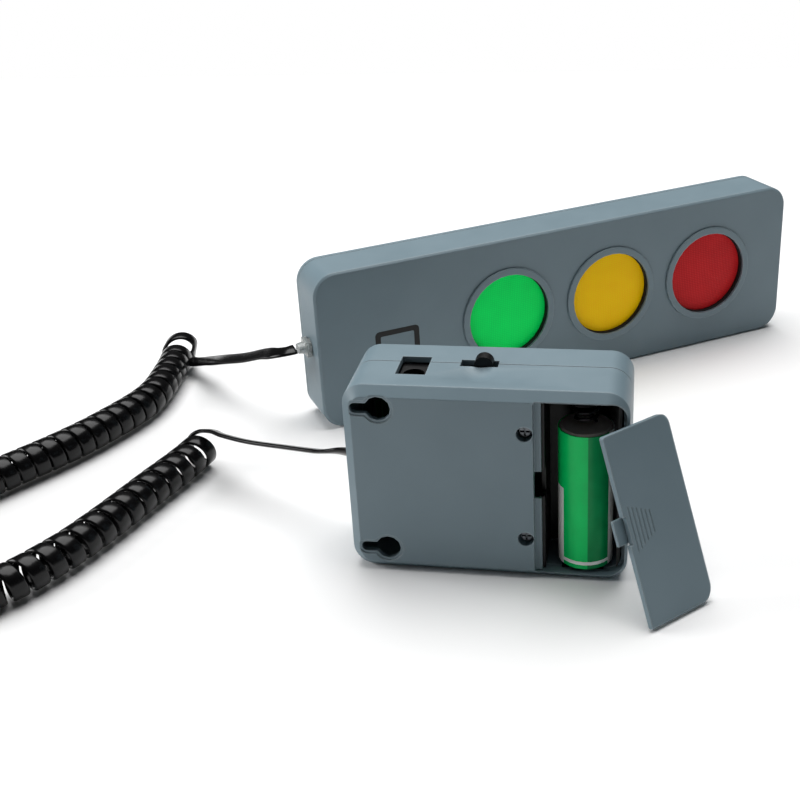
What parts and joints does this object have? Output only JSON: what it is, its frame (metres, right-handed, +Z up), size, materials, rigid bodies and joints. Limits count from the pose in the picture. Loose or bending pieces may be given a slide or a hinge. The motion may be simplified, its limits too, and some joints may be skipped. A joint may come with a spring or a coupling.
{
  "type": "garage parking aid",
  "caption": "Garage parking aid: a display box with green, yellow and red lights and an ultrasonic sensor box with an open battery bay, joined by a curly cord.",
  "frame": {"origin": "on the surface the boxes stand on, under the middle of the bounding box of both boxes and the door, cord left out", "axes": "+X along the sensor box from its cord end to its battery end, +Y from the sensor box's back face towards the display, +Z up"},
  "size_m": [0.3173, 0.2796, 0.0681],
  "materials": {
    "grey_plastic": "fine moulded texture",
    "black_plastic": "moulded",
    "cell_can": "dark end",
    "cell_sleeve": "printed sleeve",
    "plated_steel": "nickel plated",
    "circuit_board": "solder mask",
    "chip_black": "moulded epoxy",
    "capacitor_blue": "sleeve",
    "ivory_plastic": "moulded",
    "button_red": "moulded",
    "transducer_can": "anodised",
    "rubber_black": "matt",
    "screw_steel": "zinc plated",
    "clear_nylon": "translucent nylon",
    "lens_green": "translucent, ribbed",
    "led_resin": "clear resin",
    "lens_yellow": "translucent, ribbed",
    "lens_red": "translucent, ribbed",
    "cord_black": "smooth jacket"
  },
  "bodies": {
    "housings": {"sensor_back_shell": "grey_plastic", "sensor_front_shell": "grey_plastic", "battery_tray": "black_plastic", "battery_door": "grey_plastic", "battery_cell": "cell_can", "battery_sleeve": "cell_sleeve", "battery_spring": "plated_steel", "battery_spring_plate": "plated_steel", "battery_contact": "plated_steel", "main_board": "circuit_board", "controller_chip": "chip_black", "board_capacitor": "capacitor_blue", "cord_connector": "ivory_plastic", "dc_jack": "black_plastic", "dc_jack_pin": "plated_steel", "switch_body": "plated_steel", "set_button_switch": "black_plastic", "ultrasonic_transmitter": "transducer_can", "transmitter_ring": "rubber_black", "ultrasonic_receiver": "transducer_can", "receiver_ring": "rubber_black", "case_screw_1": "screw_steel", "case_screw_2": "screw_steel", "sensor_cord_gland": "clear_nylon", "display_front_shell": "grey_plastic", "display_back_cover": "grey_plastic", "bezel_green": "grey_plastic", "lens_green": "lens_green", "led_green_1": "led_resin", "led_green_2": "led_resin", "led_green_3": "led_resin", "bezel_yellow": "grey_plastic", "lens_yellow": "lens_yellow", "led_yellow_1": "led_resin", "led_yellow_2": "led_resin", "led_yellow_3": "led_resin", "bezel_red": "grey_plastic", "lens_red": "lens_red", "led_red_1": "led_resin", "led_red_2": "led_resin", "led_red_3": "led_resin", "led_board": "circuit_board", "led_driver": "chip_black", "display_connector": "ivory_plastic", "cover_screw_1": "screw_steel", "cover_screw_2": "screw_steel", "cover_screw_3": "screw_steel", "cover_screw_4": "screw_steel", "cord_gland": "clear_nylon", "cord_lead_display": "cord_black", "curly_cord": "cord_black", "cord_lead_sensor": "cord_black"},
    "door_latch": {"door_latch": "grey_plastic"},
    "switch_knob": {"switch_knob": "black_plastic"},
    "set_button": {"set_button": "button_red"}
  },
  "joints": [
    {"name": "door_latch_flex", "type": "hinge", "parent": "housings", "child": "door_latch", "pos_m": [0.04185, -0.10913, 0.02828], "axis": [0.273, -0.2636, -0.9252], "range_deg": [0, 8], "stiffness_Nm_per_rad": 0.02},
    {"name": "switch_slide", "type": "slide", "parent": "housings", "child": "switch_knob", "axis": [1, 0, 0], "range_m": [-0.0028, 0]},
    {"name": "set_button_press", "type": "slide", "parent": "housings", "child": "set_button", "axis": [0, -1, 0], "range_m": [0, 0.0006], "stiffness_N_per_m": 800, "springref_m": -0.0005}
  ]
}
